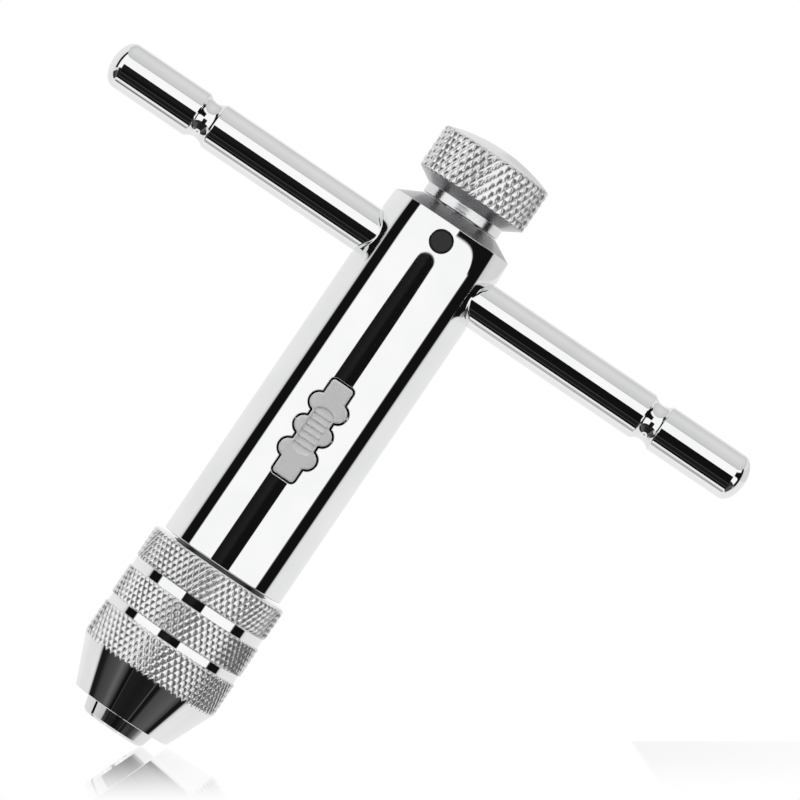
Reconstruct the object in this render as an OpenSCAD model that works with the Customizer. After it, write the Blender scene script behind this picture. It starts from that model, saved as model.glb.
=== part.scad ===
// Ratcheting T-handle tap wrench. It stands on its jaw tips, with its axis along +Z.
// The cross bar lies along X, and the direction switch faces -Y.

/* [Barrel] */
// Outer diameter of the barrel
barrel_d = 16.6; // [16:0.1:18]
// Height of the barrel's lower end
barrel_bottom = 23.6; // [23.5:0.1:24]
// Height of the top of the barrel's cylindrical wall
barrel_shoulder = 72.8; // [72.5:0.1:73]
// Height of the barrel's top face
barrel_top = 74.3; // [74.2:0.05:74.3]
// Diameter of the barrel's top face
barrel_top_d = 10.6; // [10:0.1:11]

/* [Cross bar] */
// Diameter of the cross bar
bar_d = 6; // [5.9:0.1:6]
// Length of the cross bar
bar_len = 91.5; // [80:0.5:110]
// How far the bar stands pushed to the right of the body's axis
bar_shift = 0.7; // [-5:0.1:5]
// Height of the cross bar's axis
bar_z = 66.8; // [66.6:0.1:66.8]
// Distance from each end to the middle of its groove
bar_groove_inset = 13.4; // [11:0.1:16]
// Width of each groove
bar_groove_w = 2.5; // [2:0.1:3]
// Depth of each groove
bar_groove_depth = 0.55; // [0.4:0.05:0.7]
// Height of the domed ends
bar_dome = 1.8; // [1:0.1:2.5]

/* [Clamp knob] */
// Diameter over the knurling
knob_d = 14.9; // [14:0.1:16]
// Height at which the knurled band starts
knob_band_bottom = 77; // [76.8:0.1:77.2]
// Height at which the knurled band ends
knob_band_top = 82.6; // [81:0.1:83]
// Height of the crown of the dome
knob_top = 83.9; // [83.7:0.1:85]
// Diameter of the smooth neck under the head
knob_neck_d = 10.6; // [10:0.1:11]
// Diameter of the clamp screw's thread
screw_d = 7.8; // [7:0.1:7.8]

/* [Guide pin] */
// Diameter of the guide pin
guide_pin_d = 2.8; // [2.4:0.1:2.8]
// Height of the guide pin's axis
guide_pin_z = 70.4; // [70.3:0.1:70.5]

/* [Direction switch] */
// Height of the middle of the switch
rocker_z = 43.2; // [43:0.1:43.4]
// Width of the three lobes
lobe_w = 4.75; // [4.6:0.05:5]
// Height of each lobe
lobe_h = 2.1; // [2:0.05:2.3]
// Distance between the lobes' centres
lobe_pitch = 3.29; // [3.2:0.01:3.35]
// Width of the necks between the lobes
neck_w = 2.5; // [2.4:0.1:2.7]
// Width of the end tabs
tab_w = 2.75; // [2.6:0.05:3]
// Half of the switch's total height
tab_reach = 6.5; // [6.4:0.05:6.6]
// Gap between the switch and its window
window_gap = 0.33; // [0.3:0.01:0.35]
// Number of thumb ribs
rib_count = 6; // [4:1:6]
// Distance between the thumb ribs
rib_pitch = 0.84; // [0.8:0.02:0.9]

/* [Chuck] */
// Diameter of the jaw tips at their end face
nose_d = 8.3; // [8:0.1:8.5]
// Half angle of the jaws' outer cone
jaw_half_angle = 15.4; // [15:0.1:15.6]
// Angle of the slit between the jaws, measured about the axis
slit_angle = -44; // [-60:1:60]
// Width of the slit with the chuck closed
slit_w = 0.4; // [0.3:0.05:0.5]
// Size of the square socket with the chuck closed
socket_af = 2.6; // [2.4:0.1:3]
// Diameter over the sleeve's knurled bands
sleeve_d = 18.6; // [18.4:0.1:19]
// Height of the sleeve's lower edge
sleeve_bottom = 2; // [1.9:0.1:2.2]
// Height of the sleeve's top face
sleeve_top = 23.2; // [23:0.1:23.3]
// Diameter of the sleeve's lower edge
sleeve_edge_d = 13.3; // [13:0.1:13.8]
// Height at which the sleeve's outer cone ends
sleeve_cone_top = 8.3; // [8:0.1:8.6]
// Depth of the two plain grooves
sleeve_groove_depth = 0.25; // [0.2:0.05:0.3]
// Diameter of the chuck thread
chuck_thread_d = 12.4; // [12.2:0.1:12.4]

/* [Spindle] */
// Diameter of the lower journal
journal_d = 12.6; // [12.5:0.05:12.6]
// Diameter over the ratchet teeth
ratchet_d = 13.4; // [13.2:0.1:13.4]
// Depth of the ratchet teeth
tooth_depth = 1.3; // [1.2:0.05:1.4]
// Number of teeth in each ratchet ring
tooth_count = 12; // [12:12:12]

/* [Hidden] */
$fn = 96;

fit = 0.05;                // radial clearance of a running fit
eps = 0.01;                // overlap of cutting shapes

barrel_r = barrel_d / 2;
bar_r = bar_d / 2;
bar_hole_r = bar_r + fit;
bar_flare_x = 6.6;         // where the cross hole starts to widen
bar_flare_r = 3.7;         // radius of the cross hole at the barrel's side

bush_bore_r = 7.2;         // barrel bore that holds the lower bush
bush_bore_top = 33.9;
cavity_r = 6.9;            // barrel bore around the ratchet
cavity_top = 51.5;
upper_bore_r = 4.45;       // barrel bore that guides the spindle's top end
upper_bore_top = 57;
clip_groove_z = 24.6;
clip_groove_h = 0.8;
clip_groove_r = 7.65;

bush_bottom = 25.55;
bush_top = 33.65;
washer_h = 0.5;
lower_washer_z = 33.7;
upper_washer_z = 50.9;
shoulder_z = 34.25;        // underside of the spindle's shoulder
ratchet_top = 50.8;
ring_inner = 4.1;            // distance of each tooth ring's near edge from the switch's middle
ring_outer = 7.6;
waist_r = 4.6;
spindle_top = 56.4;
upper_journal_r = 4.4;

clamp_bore_r = screw_d / 2 + 0.1;
pad_r = screw_d / 2 + 0.02;
pad_bottom = 68;
pad_top = 71.9;
keyway_w = 3.1;
keyway_y = 3;
pin_tip_y = 3.1;
pin_face_y = 8.15;
screw_bottom = 72;
knob_neck_bottom = 74.45;
tip_r = 2;
tip_bottom = 70.5;
tip_groove_z = 71.15;
tip_wire_r = 0.22;

pivot_y = -6;
pivot_r = 0.6;
pivot_len = 9.2;
switch_face_y = 8.45;
switch_crown_r = 8.62;
switch_back_y = 7.4;
hub_r = 1.05;
hub_len = 3.9;
recess_w = 2.6;
recess_h = 6.2;
recess_end_r = 1.75;       // radius of the recess's curved ends
recess_depth = 0.4;
rib_len = 2.4;
rib_w = 0.42;
rib_proud = 0.3;
tilt = 5;                  // largest tilt of the switch, each way
pawl_low = 4.7;
pawl_high = 6.3;
pawl_tip_y = 6.3;
ball_r = 0.5;
ball_x = 2.6;
ball_y = -7.2;
ball_z = 3.29;             // height of the detent ball above the pivot
boss_high = 4;           // half height of the thick middle of the switch
boss_y = 6.35;

nose_r = nose_d / 2;
jaw_slope = tan(jaw_half_angle);
jaw_cone_top = 7.2;
tongue_w = 5;
tongue_r = 4.4;
tongue_corner_r = 5;
tongue_bottom = 5.2;
tongue_top = 13.9;
slot_w = 5.1;
slot_top = 14.2;
spindle_bottom = 7.5;
thread_top = 16.8;
tail_bore_r = 3.2;
tail_bore_top = 20;
shank_r = 1.9;
sleeve_r = sleeve_d / 2;
sleeve_groove_r = sleeve_r - sleeve_groove_depth;
inner_cone_top = 12.6;
counterbore_z = 16.9;
counterbore_r = 6.6;
drag_z = 21.4;
drag_wire_r = 0.5;
drag_groove_r = 7.4;
jaw_spring_r = 0.75;
jaw_spring_wire_r = 0.13;
jaw_spring_z = 10.8;
jaw_spring_y = 1.55;
jaw_spring_hole = 2.3;     // depth of each spring hole from the slit's middle
knurl_chamfer = 0.5;

function jaw_r(z) = nose_r + z * jaw_slope;

// Radius of the circle whose cap has this half width and this height
function cap_radius(half_w, h) = (half_w * half_w + h * h) / (2 * h);

// A tube between two heights
module tube(r_out, r_in, z_low, z_high) {
    translate([0, 0, z_low]) difference() {
        cylinder(r = r_out, h = z_high - z_low);
        translate([0, 0, -eps]) cylinder(r = r_in, h = z_high - z_low + 2 * eps);
    }
}

// A torus around the main axis
module wire_ring(r_mid, wire_r, z) {
    translate([0, 0, z]) rotate_extrude() translate([r_mid, 0]) circle(r = wire_r, $fn = 32);
}

// A straight cylinder along X, centred on the YZ plane
module rod_x(r, len) {
    rotate([0, 90, 0]) cylinder(r = r, h = len, center = true);
}

// A flat outline in the XZ plane, thickened from y = -y_near to y = -y_far
module slab(y_near, y_far) {
    translate([0, -y_near, rocker_z]) rotate([90, 0, 0]) linear_extrude(y_far - y_near) children();
}

module rounded_rect(w, h, r) {
    square([w - 2 * r, h], center = true);
    square([w, h - 2 * r], center = true);
    for (sx = [-1, 1], sz = [-1, 1]) translate([sx * (w / 2 - r), sz * (h / 2 - r)]) circle(r = r);
}

module stadium(w, h) {
    square([w - h, h], center = true);
    for (s = [-1, 1]) translate([s * (w - h) / 2, 0]) circle(d = h);
}

// The switch's outline, grown by a gap on every side
module switch_outline(gap) {
    square([neck_w + 2 * gap, 2 * tab_reach], center = true);
    for (i = [-1, 0, 1]) translate([0, i * lobe_pitch]) stadium(lobe_w + 2 * gap, lobe_h + 2 * gap);
    rounded_rect(tab_w + 2 * gap, 2 * (tab_reach + gap), 0.35 + gap);
}

// The thumb recess: straight sides and gently curved ends
module thumb_recess() {
    intersection() {
        square([recess_w, recess_h], center = true);
        union() {
            square([recess_w, recess_h - 2 * recess_end_r], center = true);
            for (s = [-1, 1]) translate([0, s * (recess_h / 2 - recess_end_r)])
                circle(r = recess_end_r);
        }
    }
}

module barrel() {
    color("silver") difference() {
        rotate_extrude() polygon([
            [0, barrel_bottom], [barrel_r - 0.3, barrel_bottom], [barrel_r, barrel_bottom + 0.3],
            [barrel_r, barrel_shoulder - 0.4], [barrel_r - 0.4, barrel_shoulder],
            [barrel_top_d / 2, barrel_top], [0, barrel_top]]);
        translate([0, 0, barrel_bottom - eps]) cylinder(r = bush_bore_r, h = bush_bore_top - barrel_bottom);
        translate([0, 0, clip_groove_z]) cylinder(r = clip_groove_r, h = clip_groove_h);
        translate([0, 0, barrel_bottom]) cylinder(r = cavity_r, h = cavity_top - barrel_bottom);
        translate([0, 0, barrel_bottom]) cylinder(r = upper_bore_r, h = upper_bore_top - barrel_bottom);
        translate([0, 0, bar_z]) {
            rod_x(bar_hole_r, barrel_d + 2);
            for (s = [-1, 1]) translate([s * bar_flare_x, 0, 0]) rotate([0, s * 90, 0])
                cylinder(r1 = bar_hole_r, r2 = bar_flare_r, h = barrel_r - bar_flare_x);
        }
        translate([0, 0, bar_z]) cylinder(r = clamp_bore_r, h = barrel_top - bar_z + 1);
        translate([0, 0, guide_pin_z]) rotate([90, 0, 0]) cylinder(r = guide_pin_d / 2 + fit, h = barrel_d);
        slab(waist_r, barrel_d) switch_outline(window_gap);
        translate([0, pivot_y, rocker_z]) rod_x(pivot_r, pivot_len + 0.1);
        for (a = [-tilt, 0, tilt]) translate([0, pivot_y, rocker_z]) rotate([a, 0, 0])
            translate([ball_x, ball_y - pivot_y, ball_z]) sphere(r = ball_r + fit);
    }
}

module lower_bush() {
    color("peru") tube(bush_bore_r, journal_d / 2 + fit, bush_bottom, bush_top);
}

module lower_washer() {
    color("gray") tube(cavity_r - 0.05, journal_d / 2 + 0.1, lower_washer_z, lower_washer_z + washer_h);
}

module upper_washer() {
    color("gray") tube(cavity_r - 0.1, upper_journal_r + 0.1, upper_washer_z, upper_washer_z + washer_h);
}

// An internal circlip with its gap at the back
module retaining_ring() {
    color("dimgray") difference() {
        tube(clip_groove_r - fit, journal_d / 2 + 0.15, clip_groove_z + fit,
             clip_groove_z + clip_groove_h - fit);
        translate([-1.5, 0, clip_groove_z - 1]) cube([3, 10, 3]);
    }
}

module guide_pin() {
    color("dimgray") translate([0, -pin_tip_y, guide_pin_z]) rotate([90, 0, 0]) {
        cylinder(r = guide_pin_d / 2 - 0.02, h = pin_face_y - pin_tip_y - 0.25);
        translate([0, 0, pin_face_y - pin_tip_y - 0.25])
            cylinder(r1 = guide_pin_d / 2 - 0.02, r2 = 1.15, h = 0.25);
    }
}

module rocker_pin() {
    color("dimgray") translate([0, pivot_y, rocker_z]) rod_x(pivot_r, pivot_len);
}

module t_bar() {
    groove_r = cap_radius(bar_groove_w / 2, bar_groove_depth);
    dome_r = cap_radius(bar_r, bar_dome);
    color("silver") translate([bar_shift, 0, bar_z]) rotate([0, 90, 0]) rotate_extrude() difference() {
        intersection() {
            translate([0, -bar_len / 2]) square([bar_r, bar_len]);
            union() {
                square([3 * bar_r, bar_len - 2 * bar_dome], center = true);
                for (s = [-1, 1]) translate([0, s * (bar_len / 2 - dome_r)]) circle(r = dome_r);
            }
        }
        for (s = [-1, 1])
            translate([bar_r - bar_groove_depth + groove_r, s * (bar_len / 2 - bar_groove_inset)])
                circle(r = groove_r);
    }
}

module pressure_pad() {
    color("goldenrod") difference() {
        translate([0, 0, pad_bottom]) cylinder(r = pad_r, h = pad_top - pad_bottom);
        translate([0, 0, bar_z]) rod_x(bar_r + 0.03, barrel_d);
        translate([-keyway_w / 2, -barrel_r, pad_bottom - 1]) cube([keyway_w, barrel_r - keyway_y, 6]);
        translate([0, 0, tip_bottom - 0.1]) cylinder(r = tip_r + 0.1, h = 3);
        translate([0, 0, tip_groove_z - 0.35]) cylinder(r = tip_r + 0.45, h = 0.7);
    }
}

module clamp_knob() {
    head_r = knob_d / 2;
    edge_r = head_r - 0.25;
    crown_h = knob_top - knob_band_top;
    crown_r = cap_radius(edge_r, crown_h);
    color("silver") difference() {
        rotate_extrude() {
            polygon([
                [0, tip_bottom], [tip_r, tip_bottom], [tip_r, screw_bottom],
                [screw_d / 2 - 0.3, screw_bottom], [screw_d / 2, screw_bottom + 0.3],
                [screw_d / 2, knob_neck_bottom],
                [knob_neck_d / 2, knob_neck_bottom], [knob_neck_d / 2, knob_band_bottom - 1.3],
                [head_r, knob_band_bottom], [head_r, knob_band_top - 0.25], [edge_r, knob_band_top],
                [0, knob_band_top]]);
            intersection() {
                translate([0, knob_top - crown_r]) circle(r = crown_r, $fn = 256);
                translate([0, knob_band_top - eps]) square([edge_r, crown_h + 1]);
            }
        }
        wire_ring(tip_r + 0.05, tip_wire_r + 0.04, tip_groove_z);
    }
}

module tip_ring() {
    color("dimgray") wire_ring(tip_r + 0.05, tip_wire_r, tip_groove_z);
}

// The tip that drops between two ratchet teeth
module pawl(side) {
    mirror_x = side > 0 ? 0 : 1;
    z_low = side > 0 ? pawl_low : -pawl_high;
    root_y = -switch_back_y - 0.3;
    translate([0, 0, rocker_z + z_low]) mirror([mirror_x, 0, 0]) linear_extrude(pawl_high - pawl_low)
        polygon([[-0.7, root_y], [-0.7, -pawl_tip_y], [0.55, -pawl_tip_y], [1, root_y]]);
}

module rocker() {
    color("lightgray") difference() {
        union() {
            intersection() {
                slab(switch_back_y, switch_face_y) switch_outline(0);
                translate([0, 0, rocker_z]) cylinder(r = switch_crown_r, h = 3 * tab_reach, center = true);
            }
            translate([0, pivot_y, rocker_z]) rod_x(hub_r, hub_len);
            translate([-hub_len / 2, -boss_y - 0.1, rocker_z - hub_r])
                cube([hub_len, boss_y + 0.1 + pivot_y, 2 * hub_r]);
            slab(boss_y, switch_back_y + 0.3) intersection() {
                switch_outline(-0.1);
                square([lobe_w, 2 * boss_high], center = true);
            }
            pawl(1);
            pawl(-1);
        }
        slab(switch_face_y - recess_depth, barrel_r + 1) thumb_recess();
        translate([0, pivot_y, rocker_z]) rod_x(pivot_r + fit, barrel_d);
        translate([-1.6, ball_y, rocker_z + ball_z]) rotate([0, 90, 0]) cylinder(r = ball_r + 0.03, h = 6);
    }
    color("lightgray") for (i = [0 : rib_count - 1])
        translate([-rib_len / 2, -switch_face_y + recess_depth - rib_proud,
                   rocker_z + (i - (rib_count - 1) / 2) * rib_pitch - rib_w / 2])
            cube([rib_len, rib_proud + 0.05, rib_w]);
}

module detent_ball() {
    color("gray") translate([ball_x, ball_y, rocker_z + ball_z]) sphere(r = ball_r);
}

// The detent spring, drawn as its outer tube
module detent_spring() {
    color("gray") translate([-1.55, ball_y, rocker_z + ball_z]) rotate([0, 90, 0]) difference() {
        cylinder(r = ball_r - 0.02, h = ball_x + 1.55 - 0.42);
        translate([0, 0, -eps]) cylinder(r = ball_r - 0.16, h = 5);
    }
}

// One space between two ratchet teeth: a steep driving side and a ramp
module tooth_space(side) {
    mirror_x = side > 0 ? 0 : 1;
    root_y = ratchet_d / 2 - tooth_depth;
    mirror([mirror_x, 0, 0]) linear_extrude(ring_outer - ring_inner + 2 * eps)
        polygon([[-0.85, -7.2], [-0.85, -root_y], [0.5, -root_y], [2.1, -7.2]]);
}

module spindle() {
    color("slategray") difference() {
        rotate_extrude() polygon([
            [0, spindle_bottom], [chuck_thread_d / 2 - 0.4, spindle_bottom],
            [chuck_thread_d / 2, spindle_bottom + 0.4], [chuck_thread_d / 2, thread_top],
            [journal_d / 2, thread_top + 0.2], [journal_d / 2, shoulder_z], [ratchet_d / 2, shoulder_z],
            [ratchet_d / 2, rocker_z - ring_inner], [waist_r, rocker_z - ring_inner],
            [waist_r, rocker_z + ring_inner], [ratchet_d / 2, rocker_z + ring_inner],
            [ratchet_d / 2, ratchet_top], [upper_journal_r, ratchet_top],
            [upper_journal_r, spindle_top - 0.4], [upper_journal_r - 0.4, spindle_top], [0, spindle_top]]);
        for (side = [-1, 1], i = [0 : tooth_count - 1])
            translate([0, 0, rocker_z + (side > 0 ? ring_inner : -ring_outer) - eps])
                rotate([0, 0, i * 360 / tooth_count]) tooth_space(side);
        rotate([0, 0, slit_angle]) translate([-journal_d, -slot_w / 2, spindle_bottom - 1])
            cube([2 * journal_d, slot_w, slot_top - spindle_bottom + 1]);
        translate([0, 0, spindle_bottom]) cylinder(r = tail_bore_r, h = tail_bore_top - spindle_bottom);
        translate([0, 0, tail_bore_top - eps]) cylinder(r1 = tail_bore_r, r2 = 0, h = 1.9);
    }
}

// One half of the jaw pair. Its outer cone fits the sleeve's inner cone
module jaw(side) {
    color("gainsboro") rotate([0, 0, slit_angle + (side > 0 ? 0 : 180)]) difference() {
        union() {
            cylinder(r1 = nose_r - 0.25, r2 = jaw_r(0.3), h = 0.3);
            translate([0, 0, 0.3])
                cylinder(r1 = jaw_r(0.3), r2 = jaw_r(jaw_cone_top), h = jaw_cone_top - 0.3);
            intersection() {
                translate([0, -tongue_w / 2, tongue_bottom])
                    cube([tongue_r, tongue_w, tongue_top - tongue_bottom]);
                cylinder(r = tongue_corner_r, h = tongue_top);
            }
        }
        translate([-2 * sleeve_r + slit_w / 2, -sleeve_r, -1])
            cube([2 * sleeve_r, 2 * sleeve_r, tongue_top + 2]);
        rotate([0, 0, 45]) translate([-socket_af / 2, -socket_af / 2, -1]) cube([socket_af, socket_af, 20]);
        translate([0, 0, -eps]) cylinder(r1 = 2.5, r2 = socket_af / 2, h = 1.2);
        translate([0, 0, jaw_cone_top + 0.3]) cylinder(r = shank_r + 0.2, h = tongue_top);
        for (s = [-1, 1]) translate([-1, s * jaw_spring_y, jaw_spring_z]) rotate([0, 90, 0])
            cylinder(r = jaw_spring_r + 0.1, h = jaw_spring_hole + 1);
    }
}

module jaw_a() {
    jaw(1);
}

module jaw_b() {
    jaw(-1);
}

// The two springs that push the jaws apart, each drawn as its outer tube
module jaw_springs() {
    color("gray") rotate([0, 0, slit_angle]) for (s = [-1, 1])
        translate([0, s * jaw_spring_y, jaw_spring_z]) rotate([0, 90, 0]) difference() {
            cylinder(r = jaw_spring_r, h = 2 * jaw_spring_hole - 0.1, center = true);
            cylinder(r = jaw_spring_r - 2 * jaw_spring_wire_r, h = 10, center = true);
        }
}

module drag_ring() {
    color("black") wire_ring(journal_d / 2 + drag_wire_r + 0.03, drag_wire_r, drag_z);
}

module sleeve() {
    bore_r = chuck_thread_d / 2 + fit;
    color("silver") difference() {
        rotate_extrude() difference() {
            polygon([
                [jaw_r(sleeve_bottom) + fit, sleeve_bottom], [sleeve_edge_d / 2 - 0.3, sleeve_bottom],
                [sleeve_edge_d / 2, sleeve_bottom + 0.3], [sleeve_r, sleeve_cone_top],
                [sleeve_r, sleeve_top - knurl_chamfer], [sleeve_r - knurl_chamfer, sleeve_top],
                [counterbore_r, sleeve_top], [counterbore_r, counterbore_z], [bore_r, counterbore_z],
                [bore_r, inner_cone_top + 0.2], [jaw_r(inner_cone_top) + fit, inner_cone_top]]);
            translate([sleeve_groove_r, 12.5]) square([2, 1.2]);
            translate([sleeve_groove_r, 17.6]) square([2, 1.4]);
        }
        translate([0, 0, drag_z - drag_wire_r - 0.05]) cylinder(r = drag_groove_r, h = 2 * drag_wire_r + 0.1);
    }
}

barrel();
lower_bush();
lower_washer();
upper_washer();
retaining_ring();
guide_pin();
rocker_pin();
t_bar();
pressure_pad();
clamp_knob();
tip_ring();
rocker();
detent_ball();
detent_spring();
spindle();
jaw_a();
jaw_b();
jaw_springs();
drag_ring();
sleeve();
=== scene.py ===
# Looks of the ratcheting T-handle tap wrench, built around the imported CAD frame.
# Sizes below are in millimetres, in the CAD's own frame. make() turns them into metres.
import math
import bpy
import bmesh
from mathutils import Matrix, Vector
from mathutils.geometry import delaunay_2d_cdt


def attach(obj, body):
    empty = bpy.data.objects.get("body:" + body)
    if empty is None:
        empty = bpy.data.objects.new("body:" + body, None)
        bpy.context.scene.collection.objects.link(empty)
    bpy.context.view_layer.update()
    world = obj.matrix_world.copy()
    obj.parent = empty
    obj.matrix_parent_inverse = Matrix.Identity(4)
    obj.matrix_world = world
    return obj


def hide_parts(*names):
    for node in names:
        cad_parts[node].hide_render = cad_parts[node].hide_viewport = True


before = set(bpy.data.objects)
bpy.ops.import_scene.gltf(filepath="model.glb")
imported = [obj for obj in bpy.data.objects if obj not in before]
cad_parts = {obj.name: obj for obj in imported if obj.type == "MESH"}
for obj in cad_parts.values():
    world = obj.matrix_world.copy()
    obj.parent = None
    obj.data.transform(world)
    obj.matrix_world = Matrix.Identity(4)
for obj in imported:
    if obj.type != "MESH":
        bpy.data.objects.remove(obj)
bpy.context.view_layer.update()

MM = 0.001
TURN = 2 * math.pi

BARREL_R = 8.3
BARREL_BOTTOM = 23.6
BARREL_SHOULDER = 72.8
BARREL_TOP = 74.3
BARREL_TOP_R = 5.3
BUSH_BORE_R = 7.2
CAVITY_R = 6.9
CLAMP_BORE_R = 4.0

BAR_R = 3.0
BAR_HALF = 45.75
BAR_Z = 66.8
BAR_SHIFT = 0.7
BAR_DOME = 1.8
BAR_GROOVE_X = 32.35
BAR_GROOVE_HALF = 1.25
BAR_GROOVE_DEPTH = 0.55
BAR_HOLE_R = 3.05

PIN_R = 1.38
PIN_HOLE_R = 1.45
PIN_Z = 70.4
PIN_FACE_Y = -8.15
PIN_TIP_Y = -3.1

JAW_SLOPE = math.tan(math.radians(15.4))
NOSE_R = 4.15


# ---------------------------------------------------------------- meshes

def make(name, verts, faces, normals, body, replaced, flat=()):
    """A mesh piece. normals has one entry per vertex, or None where the face's own is used."""
    mesh = bpy.data.meshes.new(name)
    mesh.from_pydata([(x * MM, y * MM, z * MM) for x, y, z in verts], [], faces)
    mesh.update()
    if normals:
        turn_outwards(mesh, normals)
    flat = set(flat)
    loops = []
    for face in mesh.polygons:
        face.use_smooth = True
        for v in face.vertices:
            n = normals[v] if normals else None
            if face.index in flat or n is None:
                loops.append(tuple(face.normal))
            else:
                loops.append(n)
    mesh.normals_split_custom_set(loops)
    obj = bpy.data.objects.new(name, mesh)
    bpy.context.scene.collection.objects.link(obj)
    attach(obj, body)
    for node in replaced:
        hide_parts(node)
    return obj


def turn_outwards(mesh, normals):
    """Flips the faces that look against their own vertices' normals."""
    for face in mesh.polygons:
        known = [Vector(normals[v]) for v in face.vertices if normals[v]]
        if len(known) == len(face.vertices) and face.normal.dot(sum(known, Vector())) < 0:
            face.flip()
    mesh.update()


def rounded(points, closed=True, step=15):
    """Rounds the corners of an outline of (radius, height, corner radius).
    The outline is walked with the solid on its left."""
    out = []
    count = len(points)
    for i, (r, z, corner) in enumerate(points):
        here = Vector((r, z))
        if not closed and i in (0, count - 1):
            other = points[1] if i == 0 else points[count - 2]
            d = (Vector(other[:2]) - here).normalized()
            if i:
                d = -d
            out.append((r, z, d.y, -d.x))
            continue
        before = Vector(points[i - 1][:2])
        after = Vector(points[(i + 1) % count][:2])
        d0 = (here - before).normalized()
        d1 = (after - here).normalized()
        turn = math.atan2(d0.x * d1.y - d0.y * d1.x, d0.dot(d1))
        if abs(turn) < 0.002:
            out.append((r, z, d0.y, -d0.x))
            continue
        reach = abs(math.tan(turn / 2))
        limit = 0.48 * min((here - before).length, (after - here).length)
        rho = min(corner, limit / reach)
        start = here - d0 * rho * reach
        n0 = Vector((d0.y, -d0.x))
        side = 1 if turn > 0 else -1
        centre = start - n0 * rho * side
        parts = max(2, math.ceil(abs(math.degrees(turn)) / step))
        a0 = math.atan2(n0.y, n0.x)
        for k in range(parts + 1):
            a = a0 + turn * k / parts
            n = Vector((math.cos(a), math.sin(a)))
            p = centre + n * rho * side
            out.append((p.x, p.y, n.x, n.y))
    return out


def arc_points(r0, z0, r1, z1, bulge, parts):
    """Points between two profile points along an arc that bulges to the right of the way by this much."""
    a = Vector((r0, z0))
    b = Vector((r1, z1))
    d = b - a
    half = d.length / 2
    rho = (half * half + bulge * bulge) / (2 * abs(bulge))
    side = 1 if bulge > 0 else -1
    right = Vector((d.y, -d.x)).normalized()
    centre = (a + b) / 2 - right * side * (rho - abs(bulge))
    spread = math.asin(min(1, half / rho))
    out = []
    for k in range(parts + 1):
        t = -spread + 2 * spread * k / parts
        n = right * math.cos(t) * side + d.normalized() * math.sin(t)
        p = centre + n * rho
        out.append((p.x, p.y, n.x * side, n.y * side))
    return out


def lathe(profile, count, closed=True, axis="z", shift=(0, 0, 0)):
    """Turns (radius, height, normal) rows about an axis. Gives vertices, faces and vertex normals."""
    verts = []
    faces = []
    normals = []
    rings = []

    def place(r, h, a):
        c = math.cos(a)
        s = math.sin(a)
        if axis == "z":
            return (r * c, r * s, h)
        if axis == "x":
            return (h, r * c, r * s)
        return (r * s, h, r * c)

    for r, h, nr, nh in profile:
        if r < 1e-6:
            rings.append([len(verts)])
            x, y, z = place(0, h, 0)
            verts.append((x + shift[0], y + shift[1], z + shift[2]))
            normals.append(place(0, math.copysign(1, nh), 0))
            continue
        rings.append(list(range(len(verts), len(verts) + count)))
        for j in range(count):
            a = TURN * j / count
            x, y, z = place(r, h, a)
            verts.append((x + shift[0], y + shift[1], z + shift[2]))
            normals.append(place(nr, nh, a))
    pairs = list(zip(rings, rings[1:]))
    if closed:
        pairs.append((rings[-1], rings[0]))
    for low, high in pairs:
        for j in range(count):
            k = (j + 1) % count
            if len(low) == 1 and len(high) == 1:
                continue
            if len(low) == 1:
                faces.append((low[0], high[k], high[j]))
            elif len(high) == 1:
                faces.append((low[j], low[k], high[0]))
            else:
                faces.append((low[j], low[k], high[k], high[j]))
    return verts, faces, normals


def knurled(rows, count, crest, depth, tall, base, low, high, bias):
    """Turns rows about Z and cuts a diamond knurl into the rows between two heights.
    count is eight columns per tooth, tall the height of one diamond, base the height of a crossing.
    bias gives, for a height, how much deeper the grooves that fall to the right are than the others."""
    flat_part = depth * 0.35
    verts = []
    normals = []
    faces = []
    flat = []
    cut = []

    def groove(a):
        return abs(a - math.floor(a) - 0.5) * 2

    for r, z, nr, nz in rows:
        for j in range(count):
            a = TURN * j / count
            rr = r
            is_cut = False
            if low <= z <= high and nr > 0.05:
                ta = groove(j / 8 + (z - base) / tall) * (1 + bias(z))
                tb = groove(j / 8 - (z - base) / tall) * (1 - bias(z))
                sink = min(depth, max(0, (depth + flat_part) * max(ta, tb) - flat_part))
                if crest - sink < r - 1e-4:
                    rr = crest - sink
                    is_cut = True
            cut.append(is_cut)
            verts.append((rr * math.cos(a), rr * math.sin(a), z))
            normals.append((nr * math.cos(a), nr * math.sin(a), nz))
    n = len(rows)
    for i in range(n):
        k = (i + 1) % n
        z_mid = (rows[i][1] + rows[k][1]) / 2
        for j in range(count):
            m = (j + 1) % count
            quad = (i * count + j, i * count + m, k * count + m, k * count + j)
            if not any(cut[v] for v in quad):
                faces.append(quad)
                continue
            ta = groove((j + 0.5) / 8 + (z_mid - base) / tall) * (1 + bias(z_mid))
            tb = groove((j + 0.5) / 8 - (z_mid - base) / tall) * (1 - bias(z_mid))
            flat.extend([len(faces), len(faces) + 1])
            if ta > tb:
                faces.append((quad[0], quad[1], quad[3]))
                faces.append((quad[1], quad[2], quad[3]))
            else:
                faces.append((quad[0], quad[1], quad[2]))
                faces.append((quad[0], quad[2], quad[3]))
    return verts, faces, normals, flat


def filled(profile, zones, step):
    """Adds rows to the outer wall of a profile, a step apart inside each height zone."""
    out = []
    n = len(profile)
    for i in range(n):
        r0, z0, nr0, nz0 = profile[i]
        r1, z1, nr1, nz1 = profile[(i + 1) % n]
        out.append(profile[i])
        if nr0 < 0.05 or z1 <= z0 + 1e-6:
            continue
        marks = []
        for low, high in zones:
            k = 0
            while low + k * step < high:
                if z0 + 0.01 < low + k * step < z1 - 0.01:
                    marks.append(low + k * step)
                k += 1
        for z in sorted(marks):
            t = (z - z0) / (z1 - z0)
            out.append((r0 + (r1 - r0) * t, z, nr0 + (nr1 - nr0) * t, nz0 + (nz1 - nz0) * t))
    return out


# ---------------------------------------------------------------- materials

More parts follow.
